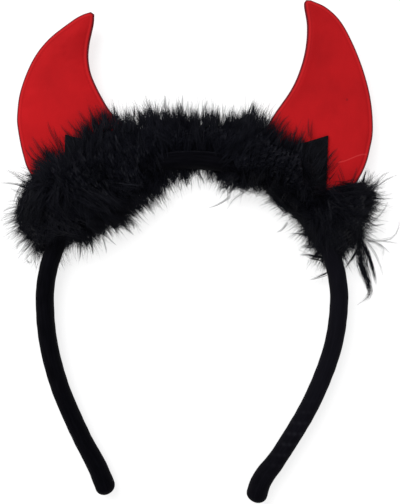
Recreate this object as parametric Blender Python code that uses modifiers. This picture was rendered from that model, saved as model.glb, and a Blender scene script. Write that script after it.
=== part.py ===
"""Headband with two flat padded horns and a feather trim, lying on its back.

Frame: metres. X runs across the band, Y from the tips of the band to the tips of the horns,
and +Z is up, out of the front. The origin is under the middle of the whole, on the surface
that it lies on. Tables and sizes below are in millimetres. Their x and y are measured from
the middle of the half ellipse that the band makes over the head.
"""

import math

import bmesh
import bpy
import numpy as np

MM = 0.001


def table(columns, *rows):
    """The columns of a table by name, from its rows."""
    return {name: np.array(cells, float) for name, cells in zip(columns.split(), zip(*rows))}


# Frame and rest
ARCH_CENTRE_X = -1.48
ARCH_CENTRE_Y = -21.15
CLEARANCE = 0.3
WIDE_CLEARANCE = 0.4
TIP_HEIGHT = 6.1
CROWN_LIFT = 3.1

# Band
ARCH_HALF_WIDTH = 64.6
ARCH_HEIGHT = 61.6
BAND_THICK = 8.0
BAND_DEPTH = 10.5
BAND_SIDES = 12
BAND_STEPS = 56
TIP_SWELL_LENGTH = 22.0
TIP_SWELL_POWER = 0.7
LEFT_LEG = table(
    "x y",
    (-64.0, -12.0),
    (-62.0, -24.2),
    (-58.3, -37.4),
    (-54.1, -48.0),
    (-48.0, -61.4),
    (-41.7, -73.4),
    (-36.9, -85.4),
)
LEFT_TIP_SWELL = 0.12
RIGHT_LEG = table(
    "x y",
    (63.7, -11.0),
    (61.3, -22.6),
    (56.3, -36.5),
    (49.5, -50.6),
    (38.3, -68.8),
    (30.8, -79.2),
    (27.6, -89.0),
)
RIGHT_TIP_SWELL = 0.19

# Horns, each edge from its tip down to the band
HORN_RIM = 1.5
HORN_CROWN = 5.0
HORN_ROLL = 7.0
HORN_TO_BAND = 0.5
HORN_CURVED_PART = 0.35
HORN_STATIONS = 22
HORN_ACROSS = 9
LEFT_INNER_EDGE = table(
    "x y",
    (-43.3, 125.5),
    (-43.2, 120.5),
    (-45.4, 111.2),
    (-45.6, 103.9),
    (-42.9, 96.1),
    (-36.2, 84.0),
    (-28.6, 75.2),
)
LEFT_OUTER_EDGE = table(
    "x y",
    (-44.6, 126.6),
    (-53.0, 122.2),
    (-63.1, 114.4),
    (-70.2, 105.0),
    (-75.2, 92.1),
    (-76.8, 81.4),
    (-76.3, 74.4),
    (-73.9, 63.4),
    (-70.6, 54.8),
)
LEFT_BASE_ANGLES = (110.5, 147.0)
RIGHT_INNER_EDGE = table(
    "x y",
    (50.3, 131.4),
    (49.6, 128.8),
    (50.7, 119.7),
    (49.8, 109.6),
    (47.0, 100.0),
    (42.8, 91.6),
    (34.4, 79.5),
)
RIGHT_OUTER_EDGE = table(
    "x y",
    (52.3, 131.5),
    (59.1, 128.4),
    (65.3, 121.9),
    (70.8, 112.2),
    (75.4, 100.6),
    (78.5, 88.9),
    (79.4, 77.0),
    (78.3, 67.8),
    (73.9, 54.7),
)
RIGHT_BASE_ANGLES = (69.0, 30.0)

# Felt tabs, each folded round the band, from its outer end to its inner end
FELT = 1.0
TAB_WRAP_GAP = 0.45
TAB_FLAP_GAP = 0.4
TAB_CLOSING = 9.0
TAB_FLAP_STEPS = np.array([0.12, 0.25, 0.4, 0.7, 1.0])
TAB_WIDTH_ABOUT = 25.0
LEFT_TAB = table("angle x y", (151.0, -55.9, 72.6), (123.0, -33.9, 67.0))
RIGHT_TAB = table("angle x y", (27.0, 60.1, 72.2), (57.0, 37.0, 66.0))

# Feather trim: the form of the dense down, by its angle about the middle of the arch
TRIM = table(
    "angle outer inner top",
    (18, 73.0, 59.4, 15.0),
    (22, 79.2, 58.6, 20.0),
    (26, 87.6, 58.0, 24.0),
    (31, 92.0, 57.4, 26.5),
    (36, 83.0, 57.2, 26.0),
    (40, 81.0, 57.4, 25.0),
    (45, 86.0, 57.8, 26.0),
    (50, 86.7, 57.2, 26.0),
    (56, 84.5, 57.6, 25.0),
    (62, 83.6, 56.3, 24.0),
    (68, 86.2, 53.2, 23.0),
    (73, 84.9, 52.1, 20.5),
    (78, 80.4, 54.4, 17.0),
    (84, 80.5, 57.2, 16.0),
    (90, 81.8, 56.0, 16.0),
    (97, 84.5, 54.2, 16.5),
    (102, 86.2, 52.2, 17.0),
    (108, 83.6, 50.0, 17.0),
    (115, 88.4, 47.4, 19.0),
    (122, 88.0, 45.2, 23.0),
    (129, 88.0, 44.0, 26.5),
    (136, 90.0, 44.4, 28.0),
    (143, 91.0, 47.4, 28.0),
    (148, 89.8, 50.0, 27.0),
    (153, 86.8, 56.0, 24.0),
    (158, 79.6, 58.6, 19.0),
    (162, 73.0, 59.4, 15.0),
)
TRIM_STATIONS = 60
TRIM_SIDES = 24
TRIM_WAIST = 0.38
TRIM_PRESSED = 1.35
LUMP_SIZE = 0.9
LUMPS_ROUND = 27
LUMP_SLANT = 2.0
SMOOTH_END_ANGLE = 8.0
VALLEY = table("angle depth", (70, 0.0), (79, 1.0), (117, 1.0), (126, 0.0))
VALLEY_WIDTH = 5.5
VALLEY_FLOOR = 8.0

# Stray plume at the right end of the trim; size is its half width against the widest
PLUME_RADIUS = 2.1
PLUME_CLEARANCE = 0.7
PLUME_SIDES = 10
PLUME_STEPS = 16
PLUME = table(
    "x y z size",
    (70.6, 35.0, 8.0, 0.45),
    (74.0, 28.6, 6.4, 0.55),
    (76.0, 20.7, 4.0, 0.8),
    (77.4, 12.0, 2.6, 1.0),
    (77.8, 6.0, 2.1, 0.8),
    (76.2, 1.6, 1.2, 0.3),
)


def clear_scene():
    for thing in list(bpy.data.objects):
        bpy.data.objects.remove(thing, do_unlink=True)


def new_collection(name):
    collection = bpy.data.collections.new(name)
    bpy.context.scene.collection.children.link(collection)
    return collection


def new_material(name, colour, roughness):
    material = bpy.data.materials.new(name)
    material.use_nodes = True
    shader = material.node_tree.nodes["Principled BSDF"]
    shader.inputs["Base Color"].default_value = (*colour, 1.0)
    shader.inputs["Roughness"].default_value = roughness
    shader.inputs["Metallic"].default_value = 0.0
    return material


def new_empty(name, location, parent=None, turn_x=0.0):
    empty = bpy.data.objects.new(name, None)
    empty.location = location
    empty.rotation_euler.x = turn_x
    empty.parent = parent
    parts.objects.link(empty)
    return empty


def place(name, mesh, parent, material=None):
    """An object for the mesh: a piece if it has a material, and else a cutter."""
    thing = bpy.data.objects.new(name, mesh)
    thing.parent = parent
    if material:
        mesh.materials.clear()
        mesh.materials.append(material)
        parts.objects.link(thing)
    else:
        thing.hide_render = True
        thing.display_type = "WIRE"
        guides.objects.link(thing)
    return thing


def smooth_line(points, steps=40):
    """A Catmull-Rom curve through the points, with that many steps between each two."""
    points = np.asarray(points, float)
    knots = np.vstack([2 * points[0] - points[1], points, 2 * points[-1] - points[-2]])
    t = np.linspace(0.0, 1.0, steps, endpoint=False)[:, None]
    runs = [
        b + 0.5 * t * (c - a + t * (2 * a - 5 * b + 4 * c - d + t * (3 * (b - c) + d - a)))
        for a, b, c, d in zip(knots, knots[1:], knots[2:], knots[3:])
    ]
    return np.vstack([*runs, points[-1:]])


def line_length(line):
    """The distance along the line up to each of its points."""
    return np.concatenate([[0.0], np.cumsum(np.linalg.norm(np.diff(line, axis=0), axis=1))])


def read_line(line, distances):
    """The points of the line at these distances along it."""
    along = line_length(line)
    return np.column_stack([np.interp(distances, along, column) for column in line.T])


def even_line(points, count):
    """That many points at even steps along the smooth curve through the given ones."""
    line = smooth_line(points)
    return read_line(line, np.linspace(0.0, line_length(line)[-1], count))


def ellipse(angles, grow=0.0):
    """Points of the band's middle line at these angles of its ellipse, in degrees."""
    turn = np.radians(angles)
    half_width = ARCH_HALF_WIDTH + grow
    height = ARCH_HEIGHT + grow
    return np.stack([half_width * np.cos(turn), height * np.sin(turn)], axis=-1)


def ellipse_normal(angles):
    """Unit directions straight out of the band at these angles of its ellipse."""
    turn = np.radians(angles)
    out = np.stack([np.cos(turn) / ARCH_HALF_WIDTH, np.sin(turn) / ARCH_HEIGHT], axis=-1)
    return out / np.linalg.norm(out, axis=-1, keepdims=True)


def finish_mesh(name, build):
    """A mesh from the bmesh, with its faces pointing out and its soft edges smooth."""
    bmesh.ops.recalc_face_normals(build, faces=build.faces)
    mesh = bpy.data.meshes.new(name)
    build.to_mesh(mesh)
    build.free()
    mesh.shade_smooth()
    mesh.set_sharp_from_angle(angle=math.radians(50))
    return mesh


def cap(build, ring):
    """Closes a ring with a strip across it, from its first and last points inwards."""
    for i in range((len(ring) - 1) // 2):
        corners = (ring[i], ring[i + 1], ring[-2 - i], ring[-1 - i])
        build.faces.new(dict.fromkeys(corners))


def loft(name, rings):
    """A closed body through rings with the same number of points, capped at both ends."""
    build = bmesh.new()
    loops = [[build.verts.new(point * MM) for point in ring] for ring in rings]
    count = len(loops[0])
    for ring, following in zip(loops, loops[1:]):
        for i in range(count):
            j = (i + 1) % count
            build.faces.new((ring[i], ring[j], following[j], following[i]))
    cap(build, loops[0])
    cap(build, loops[-1])
    return finish_mesh(name, build)


def tube(name, points, sizes, half_x, half_z, sides):
    """A closed tube along the points. Its oval section is scaled by a size at each point."""
    section = bpy.data.curves.new(name + "_section", "CURVE")
    oval = section.splines.new("POLY")
    oval.points.add(sides - 1)
    oval.use_cyclic_u = True
    for i, point in enumerate(oval.points):
        turn = math.tau * i / sides
        point.co = (half_x * MM * math.cos(turn), half_z * MM * math.sin(turn), 0.0, 1.0)
    guide = place(name + "_section", section, None)

    route = bpy.data.curves.new(name, "CURVE")
    route.dimensions = "3D"
    route.twist_mode = "Z_UP"
    route.bevel_mode = "OBJECT"
    route.bevel_object = guide
    route.use_fill_caps = True
    spline = route.splines.new("POLY")
    spline.points.add(len(points) - 1)
    for point, place_mm, size in zip(spline.points, points, sizes):
        point.co = (*(place_mm * MM), 1.0)
        point.radius = size
    line = place(name + "_line", route, None)
    bpy.context.view_layer.update()
    evaluated = line.evaluated_get(bpy.context.evaluated_depsgraph_get())
    build = bmesh.new()
    build.from_mesh(evaluated.to_mesh())
    bmesh.ops.remove_doubles(build, verts=build.verts, dist=0.00001)
    bpy.data.objects.remove(line, do_unlink=True)
    bpy.data.objects.remove(guide, do_unlink=True)
    return finish_mesh(name, build)


def band_mesh(name, grow=0.0):
    """The band: an oval tube over the arch and down both legs, with full round tips."""
    left = np.column_stack([LEFT_LEG["x"], LEFT_LEG["y"]])
    right = np.column_stack([RIGHT_LEG["x"], RIGHT_LEG["y"]])
    line = smooth_line(np.vstack([left[::-1], ellipse(np.arange(180, -1, -10)), right]))
    length = line_length(line)[-1]
    tip = BAND_THICK / 2
    round_off = np.radians([12, 30, 48, 66, 90])
    near = tip * (1.0 - np.cos(round_off))
    middle = np.linspace(tip, length - tip, BAND_STEPS)[1:-1]
    distances = np.concatenate([near, middle, length - near[::-1]])
    rounding = np.sin(round_off)
    sizes = np.concatenate([rounding, np.ones(len(middle)), rounding[::-1]])
    from_left = np.clip(1.0 - distances / TIP_SWELL_LENGTH, 0.0, 1.0)
    from_right = np.clip(1.0 - (length - distances) / TIP_SWELL_LENGTH, 0.0, 1.0)
    sizes *= 1.0 + LEFT_TIP_SWELL * from_left**TIP_SWELL_POWER
    sizes *= 1.0 + RIGHT_TIP_SWELL * from_right**TIP_SWELL_POWER
    points = read_line(line, distances)
    points = np.column_stack([points, np.zeros(len(points))])
    return tube(name, points, sizes, BAND_THICK / 2 + grow, BAND_DEPTH / 2 + grow, BAND_SIDES)


def horn_mesh(name, inner, outer, base_angles, grow=0.0):
    """A flat padded horn, from its rounded tip to a base that follows the band.

    Across the horn, the pad rises from the rim as a quarter round to its full thickness.
    """
    base_grow = BAND_THICK / 2 + HORN_TO_BAND - grow
    base = ellipse(np.linspace(*base_angles, HORN_ACROSS), base_grow)
    inner_line = even_line([*zip(inner["x"], inner["y"]), base[0]], HORN_STATIONS)
    outer_line = even_line([*zip(outer["x"], outer["y"]), base[-1]], HORN_STATIONS)
    share = 0.5 - 0.5 * np.cos(np.linspace(0.0, math.pi, HORN_ACROSS))
    straight = base[0] + (base[-1] - base[0]) * share[:, None]
    rings = []
    for i in range(HORN_STATIONS):
        start, end = inner_line[i], outer_line[i]
        width = np.linalg.norm(end - start)
        sideways = (end - start) / width
        bend = np.clip((i / (HORN_STATIONS - 1) - 1.0) / HORN_CURVED_PART + 1.0, 0.0, 1.0)
        points = start + (end - start) * share[:, None] + (base - straight) * bend**2
        from_rim = np.minimum(share, 1.0 - share) * width
        rise = np.sqrt(1.0 - np.clip(1.0 - from_rim / HORN_ROLL, 0.0, 1.0) ** 2)
        half = (HORN_RIM + (HORN_CROWN - HORN_RIM) * rise) / 2 + grow
        points = points + np.outer(2.0 * share - 1.0, sideways) * grow
        front = np.column_stack([points, half])
        back = np.column_stack([points, -half])
        rings.append(np.vstack([front, back[::-1]]))
    return loft(name, rings)


def tab_sections(tab, grow=0.0):
    """The folded felt's inner face in sections along the band, each from flap to flap.

    A section comes down the back flap, passes round the inner side of the band as a half
    oval, and goes up the front flap to the straight edge that the table's x and y give.
    """
    wrap_x = BAND_THICK / 2 + TAB_WRAP_GAP + grow
    wrap_z = BAND_DEPTH / 2 + TAB_WRAP_GAP + grow
    flap_z = HORN_CROWN / 2 + TAB_FLAP_GAP + grow
    turn = np.radians(np.linspace(-90, 90, 9))
    spare = grow / TAB_WIDTH_ABOUT
    sections = []
    for along in np.linspace(-spare, 1.0 + spare, 12):
        angle = tab["angle"][0] + (tab["angle"][1] - tab["angle"][0]) * along
        centre = ellipse(angle)
        normal = ellipse_normal(angle)
        top = np.array([
            tab["x"][0] + (tab["x"][1] - tab["x"][0]) * along,
            tab["y"][0] + (tab["y"][1] - tab["y"][0]) * along,
        ])
        reach = top - centre
        top = top + reach / np.linalg.norm(reach) * grow
        wrap = np.column_stack([
            centre - np.outer(np.cos(turn), normal) * wrap_x,
            wrap_z * np.sin(turn),
        ])
        flat = centre + np.outer(TAB_FLAP_STEPS, top - centre)
        closing = np.clip(TAB_FLAP_STEPS * (reach @ normal) / TAB_CLOSING, 0.0, 1.0)
        height = wrap_z + (flap_z - wrap_z) * closing**2 * (3.0 - 2.0 * closing)
        front = np.column_stack([flat, height])
        back = np.column_stack([flat, -height])
        sections.append(np.vstack([back[::-1], wrap, front]))
    return sections


def tab_mesh(name, tab):
    """The felt's inner face as an open surface, for Solidify to thicken outwards."""
    build = bmesh.new()
    rows = [[build.verts.new(point * MM) for point in row] for row in tab_sections(tab)]
    for row, following in zip(rows, rows[1:]):
        for i in range(len(row) - 1):
            build.faces.new((row[i], row[i + 1], following[i + 1], following[i]))
    bmesh.ops.recalc_face_normals(build, faces=build.faces)
    build.faces.ensure_lookup_table()
    middle = min(build.faces, key=lambda face: np.hypot(*face.calc_center_median()[:2]))
    centre = middle.calc_center_median()
    if middle.normal.x * centre.x + middle.normal.y * centre.y > 0:
        bmesh.ops.reverse_faces(build, faces=build.faces)
    mesh = bpy.data.meshes.new(name)
    build.to_mesh(mesh)
    build.free()
    return mesh


def trim_rings():
    """Sections of the down along the band: a dome over a waist, pressed flat underneath."""
    turn = np.linspace(0.0, math.tau, TRIM_SIDES, endpoint=False)
    rings = []
    for angle in np.linspace(TRIM["angle"][0], TRIM["angle"][-1], TRIM_STATIONS):
        outer = np.interp(angle, TRIM["angle"], TRIM["outer"])
        inner = np.interp(angle, TRIM["angle"], TRIM["inner"])
        top = np.interp(angle, TRIM["angle"], TRIM["top"])
        end = min(angle - TRIM["angle"][0], TRIM["angle"][-1] - angle)
        lump_size = LUMP_SIZE * min(end / SMOOTH_END_ANGLE, 1.0)
        lump = lump_size * np.sin(math.radians(angle) * LUMPS_ROUND + LUMP_SLANT * np.cos(turn))
        waist = top * TRIM_WAIST
        radius = (outer + inner) / 2 + (outer - inner) / 2 * np.cos(turn)
        radius = radius + lump * np.clip(np.cos(turn), 0.0, 1.0)
        up = np.sin(turn)
        dome = waist + (top - waist + lump) * up
        height = np.where(up > 0, dome, waist * (1.0 + TRIM_PRESSED * up))
        band_radius = np.linalg.norm(ellipse(angle))
        share = np.interp(angle, VALLEY["angle"], VALLEY["depth"])
        dip = share * np.exp(-(((radius - band_radius) / VALLEY_WIDTH) ** 2))
        height = np.where(up > 0, height + dip * np.minimum(VALLEY_FLOOR - height, 0.0), height)
        height = np.maximum(height, 0.0)
        turned = math.radians(angle)
        rings.append(np.column_stack([radius * math.cos(turned), radius * math.sin(turned), height]))
    return rings


def make_band():
    place("headband", band_mesh("headband"), lifted, velvet)
    place("band_room", band_mesh("band_room", CLEARANCE), lifted)


def make_horn(side, inner, outer, base_angles):
    name = "horn_" + side
    place(name, horn_mesh(name, inner, outer, base_angles), lifted, velour)
    room = name + "_room"
    place(room, horn_mesh(room, inner, outer, base_angles, WIDE_CLEARANCE), lifted)


def make_tab(side, tab):
    name = "felt_tab_" + side
    felt_tab = place(name, tab_mesh(name, tab), lifted, felt)
    wall = felt_tab.modifiers.new("wall", "SOLIDIFY")
    wall.thickness = FELT * MM
    wall.offset = 1.0
    wall.use_even_offset = True
    room = name + "_room"
    place(room, loft(room, tab_sections(tab, FELT + WIDE_CLEARANCE)), lifted)


def make_plume():
    points = np.column_stack([PLUME["x"], PLUME["y"], PLUME["z"], PLUME["size"]])
    line = even_line(points, PLUME_STEPS)
    back = line[0, :3] - line[1, :3]
    root = line[0, :3] + back / np.linalg.norm(back) * PLUME_CLEARANCE
    longer = np.vstack([root, line[1:, :3]])
    wider = PLUME_RADIUS + PLUME_CLEARANCE
    sizes = line[:, 3]
    plume = tube("loose_plume", line[:, :3], sizes, PLUME_RADIUS, PLUME_RADIUS, PLUME_SIDES)
    room = tube("plume_room", longer, sizes, wider, wider, PLUME_SIDES)
    place("loose_plume", plume, arch, down)
    place("plume_room", room, arch)


def make_trim():
    """The down, with room cut in it for the pieces that pass through it."""
    trim = place("feather_trim", loft("feather_trim", trim_rings()), arch, down)
    cut = trim.modifiers.new("rooms", "BOOLEAN")
    cut.operation = "DIFFERENCE"
    cut.solver = "EXACT"
    cut.operand_type = "COLLECTION"
    cut.collection = guides


clear_scene()
parts = new_collection("Devil horns headband")
guides = new_collection("Cutters and guides")
velvet = new_material("black_velvet", (0.008, 0.008, 0.011), 0.9)
velour = new_material("red_velour", (0.52, 0.012, 0.018), 0.75)
felt = new_material("black_felt", (0.013, 0.013, 0.016), 0.95)
down = new_material("black_down", (0.009, 0.009, 0.012), 0.85)

lowest_tip = -RIGHT_LEG["y"][-1]
lift = math.asin(CROWN_LIFT / (lowest_tip + ARCH_HEIGHT))
arch_height = TIP_HEIGHT + lowest_tip * math.sin(lift)
arch = new_empty("arch_centre", (ARCH_CENTRE_X * MM, ARCH_CENTRE_Y * MM, 0.0))
lifted = new_empty("lifted_band", (0.0, 0.0, arch_height * MM), arch, lift)

make_band()
make_horn("left", LEFT_INNER_EDGE, LEFT_OUTER_EDGE, LEFT_BASE_ANGLES)
make_horn("right", RIGHT_INNER_EDGE, RIGHT_OUTER_EDGE, RIGHT_BASE_ANGLES)
make_tab("left", LEFT_TAB)
make_tab("right", RIGHT_TAB)
make_plume()
make_trim()
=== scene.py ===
import math

import bmesh
import bpy
import numpy as np
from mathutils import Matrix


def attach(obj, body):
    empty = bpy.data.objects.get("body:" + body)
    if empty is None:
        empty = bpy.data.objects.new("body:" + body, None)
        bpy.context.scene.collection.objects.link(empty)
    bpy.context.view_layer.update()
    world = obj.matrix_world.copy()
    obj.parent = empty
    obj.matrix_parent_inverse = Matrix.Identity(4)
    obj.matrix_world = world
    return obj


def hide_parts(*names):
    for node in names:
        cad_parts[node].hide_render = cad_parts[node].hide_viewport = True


# A devil horns headband, lying on its back with its front up: a velvet band, two flat red
# horns held in folded felt tabs, and a trim of black down along the crown.
# Sizes are in millimetres. Their x and y start from the middle of the band's arch.
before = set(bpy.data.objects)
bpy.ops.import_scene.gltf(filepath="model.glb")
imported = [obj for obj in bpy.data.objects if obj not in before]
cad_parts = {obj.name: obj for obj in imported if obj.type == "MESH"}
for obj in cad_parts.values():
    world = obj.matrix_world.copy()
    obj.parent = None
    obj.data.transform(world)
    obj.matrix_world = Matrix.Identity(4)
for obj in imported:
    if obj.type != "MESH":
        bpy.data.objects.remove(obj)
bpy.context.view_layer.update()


# --- The surface it lies on, the light and the camera ---------------------------------
# A pale light table, which glows from below so that hardly any shadow falls on it, under one
# large soft light with even light from all round. The camera looks straight down on it,
# which is the photo's angle to a headband that lies flat.
FLOOR_HALF = 2.5
FLOOR_COLOUR = (0.30, 0.30, 0.302, 1.0)
FLOOR_SPECK = (0.28, 0.28, 0.282, 1.0)
FLOOR_GRAIN = 900.0
FLOOR_GLOW = 0.73
SKY_STRENGTH = 0.78
LIGHT_PLACE = (-0.55, 0.75, 1.35)
LIGHT_SIZE = 1.1
LIGHT_WATTS = 21.0
CAMERA_PLACE = (0.00204, -0.00003, 0.5303)
CAMERA_LENS = 85.0
CAMERA_SENSOR = 36.0


class Value:
    """One socket of a material, so that sums on it are written as on paper.

    Each operator adds a Math node. Any other node comes from node(), which sets the node's
    own settings first and then its sockets, from numbers or from other values.
    """

    def __init__(self, tree, socket=None):
        self.tree = tree
        self.socket = socket

    def node(self, kind, settings, sockets, output=0):
        made = self.tree.nodes.new("ShaderNode" + kind)
        for name, setting in settings.items():
            setattr(made, name, setting)
        for name, given in sockets.items():
            if isinstance(given, Value):
                self.tree.links.new(given.socket, made.inputs[name])
            else:
                made.inputs[name].default_value = given
        return Value(self.tree, made.outputs[output])

    def math(self, operation, *others):
        return self.node("Math", {"operation": operation}, dict(enumerate((self, *others))))

    def __add__(self, other):
        return self.math("ADD", other)

    __radd__ = __add__

    def __sub__(self, other):
        return self.math("SUBTRACT", other)

    def __rsub__(self, other):
        return self * -1.0 + other

    def __mul__(self, other):
        return self.math("MULTIPLY", other)

    __rmul__ = __mul__

    def between(self, low, high):
        """0 at low and 1 at high, with a smooth rise."""
        settings = {"interpolation_type": "SMOOTHSTEP"}
        return self.node("MapRange", settings, {"Value": self, "From Min": low, "From Max": high})

    def noise(self, scale, detail=2.0, stretch=(1.0, 1.0, 1.0)):
        """Soft noise at these coordinates, about 0.5, with that many blobs to the metre."""
        wide = self.node("VectorMath", {"operation": "MULTIPLY"}, {0: self, 1: stretch})
        return self.node("TexNoise", {}, {"Vector": wide, "Scale": scale, "Detail": detail})

    def mix(self, first, second):
        """The first colour where this is 0, and the second where it is 1."""
        return self.node("Mix", {"data_type": "RGBA"}, {0: self, 6: first, 7: second}, 2)

    def stored(self, name):
        """A number that is stored at the points of the piece."""
        return self.node("Attribute", {"attribute_name": name}, {}, "Fac")

    def axis(self, letter):
        """One of these coordinates, in metres."""
        return self.node("SeparateXYZ", {}, {"Vector": self}, letter)

    def into(self, shader, name):
        self.tree.links.new(self.socket, shader.inputs[name])


def new_material(name, fixed):
    """A material with these constants on its shader, its shader, and Object coordinates."""
    material = bpy.data.materials.new(name)
    material.use_nodes = True
    shader = material.node_tree.nodes["Principled BSDF"]
    for socket, constant in fixed.items():
        shader.inputs[socket].default_value = constant
    here = Value(material.node_tree).node("TexCoord", {}, {}, "Object")
    return material, shader, here


def grid_faces(rows, columns, closed=False):
    """Quads between the rows of a grid. If closed, the last column joins the first."""
    across = columns if closed else columns - 1
    row, column = np.meshgrid(np.arange(rows - 1), np.arange(across), indexing="ij")
    start = row * columns
    after = (column + 1) % columns
    corners = [start + column, start + after, start + columns + after, start + columns + column]
    return np.stack(corners, axis=-1).reshape(-1, 4)


def new_object(name, points, faces, material):
    """An object from points in metres and faces, with soft shading."""
    mesh = bpy.data.meshes.new(name)
    faces = faces if isinstance(faces, list) else faces.tolist()
    mesh.from_pydata(points.reshape(-1, 3).tolist(), [], faces)
    mesh.shade_smooth()
    mesh.materials.append(material)
    thing = bpy.data.objects.new(name, mesh)
    bpy.context.scene.collection.objects.link(thing)
    return thing


card, card_shader, card_here = new_material("pale_card", {
    "Roughness": 0.9,
    "Specular IOR Level": 0.2,
    "Emission Color": (1.0, 1.0, 1.0, 1.0),
    "Emission Strength": FLOOR_GLOW,
})
card_here.noise(FLOOR_GRAIN, 3.0).mix(FLOOR_COLOUR, FLOOR_SPECK).into(card_shader, "Base Color")
across_floor = np.linspace(-FLOOR_HALF, FLOOR_HALF, 3)
floor_x, floor_y = np.meshgrid(across_floor, across_floor, indexing="xy")
floor_points = np.stack([floor_x, floor_y, np.zeros_like(floor_x)], axis=-1)
floor = new_object("floor", floor_points, grid_faces(3, 3), card)

world = bpy.data.worlds.new("even_light")
world.use_nodes = True
world.node_tree.nodes["Background"].inputs["Color"].default_value = (1.0, 1.0, 1.0, 1.0)
world.node_tree.nodes["Background"].inputs["Strength"].default_value = SKY_STRENGTH
bpy.context.scene.world = world

lamp = bpy.data.lights.new("soft_light", "AREA")
lamp.shape = "DISK"
lamp.size = LIGHT_SIZE
lamp.energy = LIGHT_WATTS
soft_light = bpy.data.objects.new("soft_light", lamp)
soft_light.location = LIGHT_PLACE
light_x, light_y, light_z = LIGHT_PLACE
soft_light.rotation_euler = (
    math.atan2(math.hypot(light_x, light_y), light_z), 0.0, math.atan2(light_x, -light_y)
)
bpy.context.scene.collection.objects.link(soft_light)

lens = bpy.data.cameras.new("camera")
lens.lens = CAMERA_LENS
lens.sensor_width = CAMERA_SENSOR
lens.clip_start = 0.01
camera = bpy.data.objects.new("camera", lens)
camera.location = CAMERA_PLACE
bpy.context.scene.collection.objects.link(camera)
bpy.context.scene.camera = camera
bpy.context.scene.view_settings.view_transform = "Standard"


# --- Band -----------------------------------------------------------------------------
# A springy band padded with thin foam and covered with black velvet, pulled tight and
# closed along the back. It is half an ellipse over the head, with a leg on each side.
MM = 0.001
ARCH_CENTRE = np.array([-1.48, -21.15])
TIP_HEIGHT = 6.1
CROWN_LIFT = 3.1
ARCH_HALF_WIDTH = 64.6
ARCH_HEIGHT = 61.6
BAND_THICK = 8.0
BAND_DEPTH = 10.5
TIP_SWELL_LENGTH = 22.0
TIP_SWELL_POWER = 0.7
LEFT_LEG = np.array([
    (-64.0, -12.0), (-62.0, -24.2), (-58.3, -37.4), (-54.1, -48.0),
    (-48.0, -61.4), (-41.7, -73.4), (-36.9, -85.4),
])
RIGHT_LEG = np.array([
    (63.7, -11.0), (61.3, -22.6), (56.3, -36.5), (49.5, -50.6),
    (38.3, -68.8), (30.8, -79.2), (27.6, -89.0),
])
LEFT_TIP_SWELL = 0.12
RIGHT_TIP_SWELL = 0.19
BAND_RINGS = 300
BAND_SIDES = 56
BAND_TIP_RINGS = 12
FOLD_TURN = math.radians(29.0)
FOLD_WIDTH = 0.13
FOLD_SWELL = 0.16
FOLD_ENDS = (76.0, 102.0)
FOLD_FADES = 4.0
RIPPLE = 0.05
PULLS_FROM_TIP = 34.0
PULLS_REACH = 14.0
PULLS_SWELL = 0.16
VELVET_DEEP = (0.0002, 0.0002, 0.0008, 1.0)
VELVET_PALE = (0.0036, 0.0034, 0.0056, 1.0)
# The next colour is a painted highlight, laid on the fold at the crown and on the pulls.
VELVET_HIGHLIGHT = (0.0105, 0.0105, 0.0140, 1.0)
LIFT = math.asin(CROWN_LIFT / (-RIGHT_LEG[-1, 1] + ARCH_HEIGHT))
ARCH_MIDDLE_HEIGHT = TIP_HEIGHT - RIGHT_LEG[-1, 1] * math.sin(LIFT)


def bump(height, shader, distance, strength):
    """Raises the surface by a height from 0 to 1, at most that many millimetres."""
    sockets = {"Height": height, "Distance": distance * MM, "Strength": strength}
    height.node("Bump", {}, sockets).into(shader, "Normal")


def smooth_line(points, steps=40):
    """A Catmull-Rom curve through the points, with that many steps between each two."""
    points = np.asarray(points, float)
    knots = np.vstack([2 * points[0] - points[1], points, 2 * points[-1] - points[-2]])
    t = np.linspace(0.0, 1.0, steps, endpoint=False)[:, None]
    runs = [
        b + 0.5 * t * (c - a + t * (2 * a - 5 * b + 4 * c - d + t * (3 * (b - c) + d - a)))
        for a, b, c, d in zip(knots, knots[1:], knots[2:], knots[3:])
    ]
    return np.vstack([*runs, points[-1:]])


def line_length(line):
    """The distance along the line up to each of its points."""
    return np.concatenate([[0.0], np.cumsum(np.linalg.norm(np.diff(line, axis=0), axis=1))])


def read_line(line, distances):
    """The points of the line at these distances along it."""
    along = line_length(line)
    return np.column_stack([np.interp(distances, along, column) for column in line.T])


def unit(vectors):
    """The directions of these vectors, each with a length of one."""
    return vectors / np.maximum(np.linalg.norm(vectors, axis=-1, keepdims=True), 1e-9)


def ellipse(angles):
    """Points of the band's middle line at these angles of its ellipse, in degrees."""
    turn = np.radians(angles)
    return np.stack([ARCH_HALF_WIDTH * np.cos(turn), ARCH_HEIGHT * np.sin(turn)], axis=-1)


def lifted(points):
    """World places, in metres, of points on the band's own plane, which rises to the crown."""
    x, y, z = np.moveaxis(np.asarray(points, float), -1, 0)
    turned = [
        x + ARCH_CENTRE[0],
        y * math.cos(LIFT) - z * math.sin(LIFT) + ARCH_CENTRE[1],
        y * math.sin(LIFT) + z * math.cos(LIFT) + ARCH_MIDDLE_HEIGHT,
    ]
    return np.stack(turned, axis=-1) * MM


def add_numbers(thing, name, numbers):
    """A number for each point of a piece, for its material to read."""
    layer = thing.data.attributes.new(name, "FLOAT", "POINT")
    layer.data.foreach_set("value", np.asarray(numbers, np.float32).ravel())


def close_ends(points, faces, rings, sides):
    """Adds a point in the middle of the first and the last ring, and a fan to each."""
    middles = np.array([points[0].mean(axis=0), points[-1].mean(axis=0)])
    flat = np.vstack([points.reshape(-1, 3), middles])
    column = np.arange(sides)
    after = (column + 1) % sides
    last = (rings - 1) * sides
    first_pole = np.full(sides, rings * sides)
    start = np.stack([first_pole, after, column], axis=-1)
    end = np.stack([first_pole + 1, last + column, last + after], axis=-1)
    return flat, [*faces.tolist(), *start.tolist(), *end.tolist()]


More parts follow.
